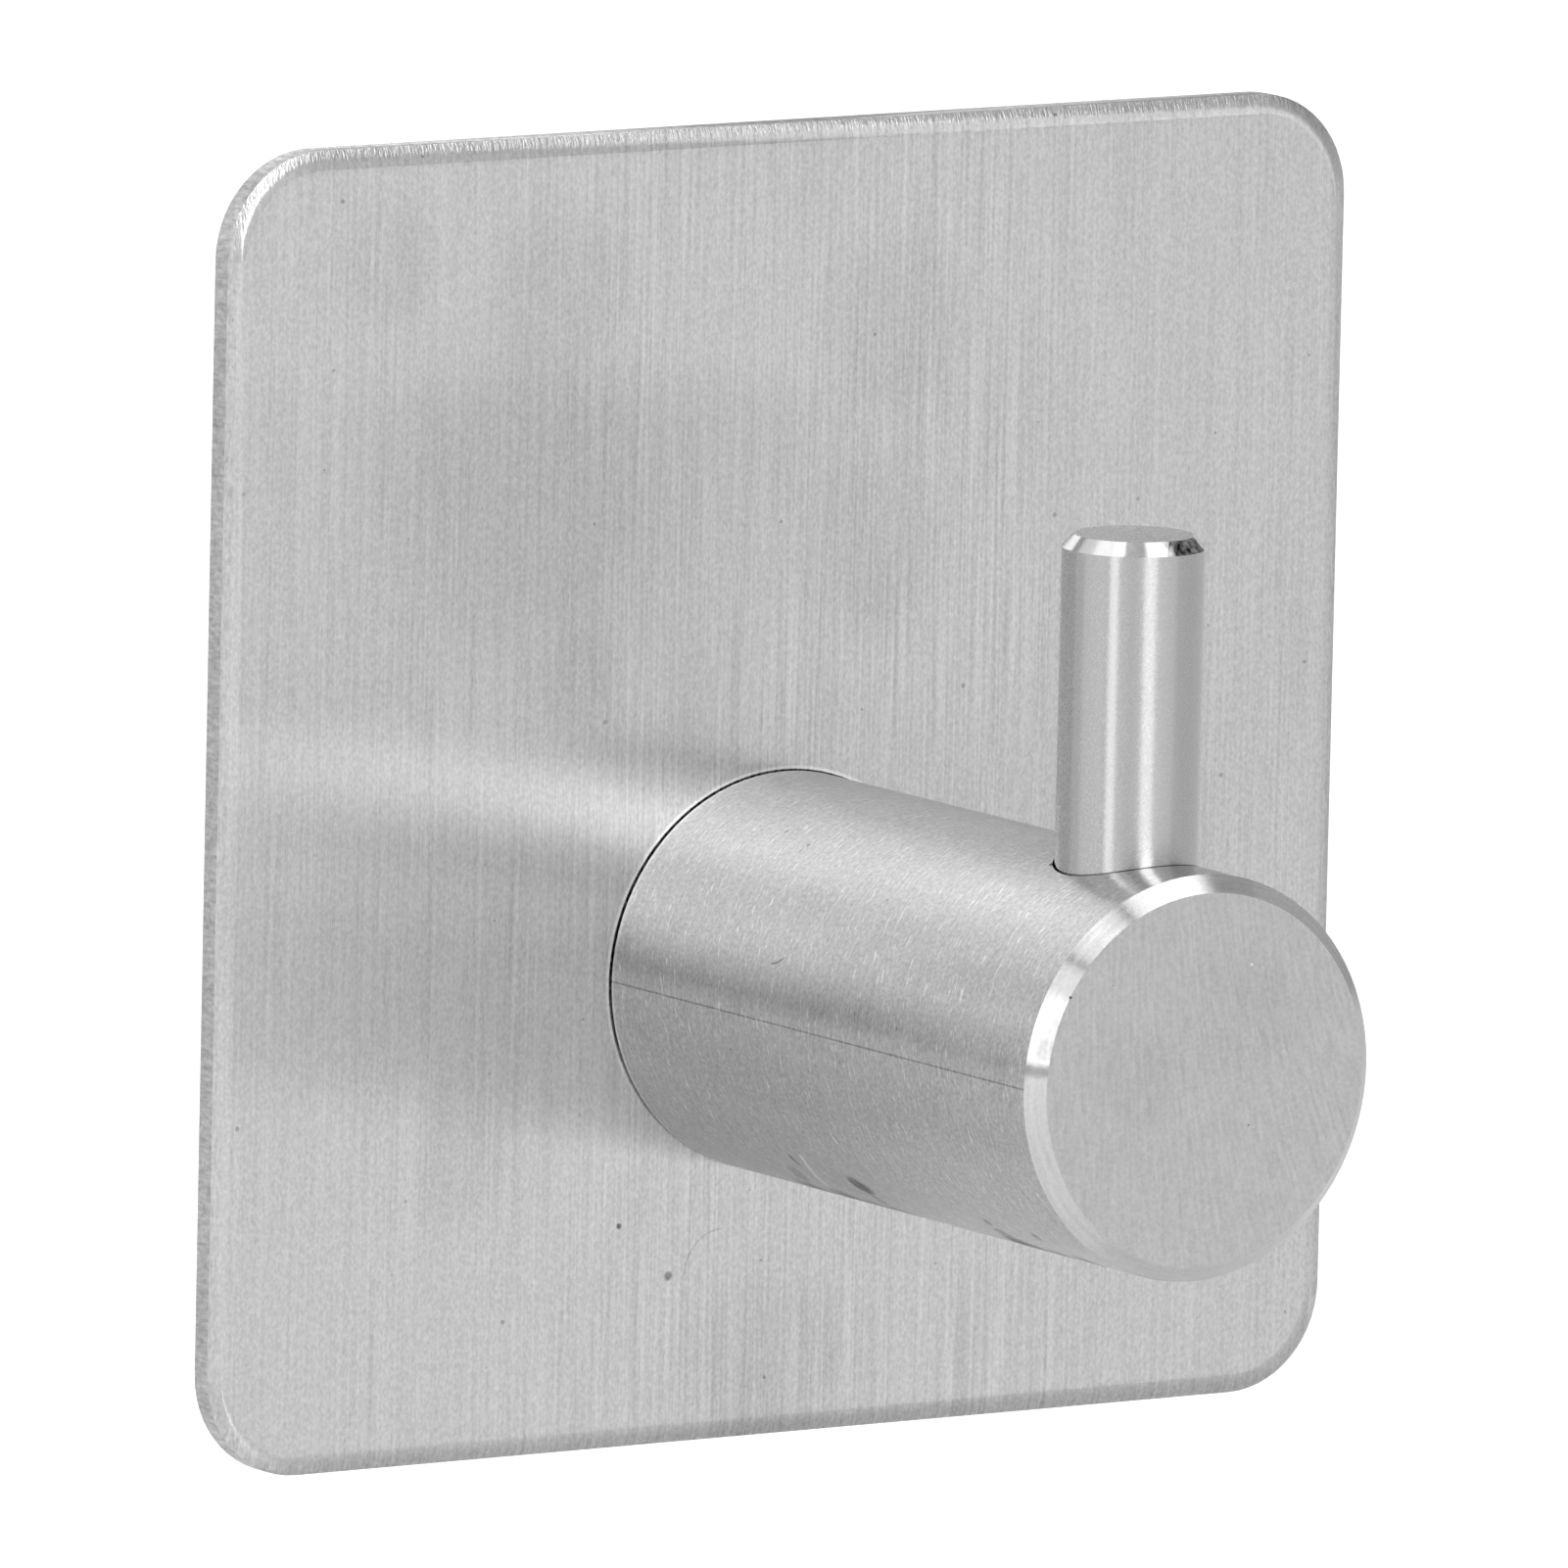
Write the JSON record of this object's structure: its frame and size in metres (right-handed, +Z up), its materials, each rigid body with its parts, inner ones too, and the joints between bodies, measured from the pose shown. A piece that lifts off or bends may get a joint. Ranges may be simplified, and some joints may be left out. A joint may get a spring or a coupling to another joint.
{
  "type": "adhesive wall hook",
  "caption": "Stick-on wall hook: a brushed square plate on foam tape carries a round post with an upright pin, so that a loop or towel hung over the post can't slide off.",
  "frame": {"origin": "middle of the face that goes to the wall", "axes": "+Y into the wall, so the hook stands out along -Y; +Z up; +X to the right for someone facing the wall"},
  "size_m": [0.045, 0.0279, 0.045],
  "materials": {
    "brushed_plate": "brushed up and down",
    "turned_post": "fine turned",
    "ground_pin": "ground",
    "screw_steel": "bright zinc plated",
    "acrylic_foam": "closed-cell acrylic foam",
    "liner_film": "smooth release film"
  },
  "bodies": {
    "hook": {"back_plate": "brushed_plate", "post": "turned_post", "pin": "ground_pin", "screw": "screw_steel", "foam_tape": "acrylic_foam"},
    "liner": {"release_liner": "liner_film"}
  },
  "joints": [
    {"name": "liner_peel", "type": "slide", "parent": "hook", "child": "liner", "axis": [0, 1, 0], "range_m": [0, 0.04]}
  ]
}
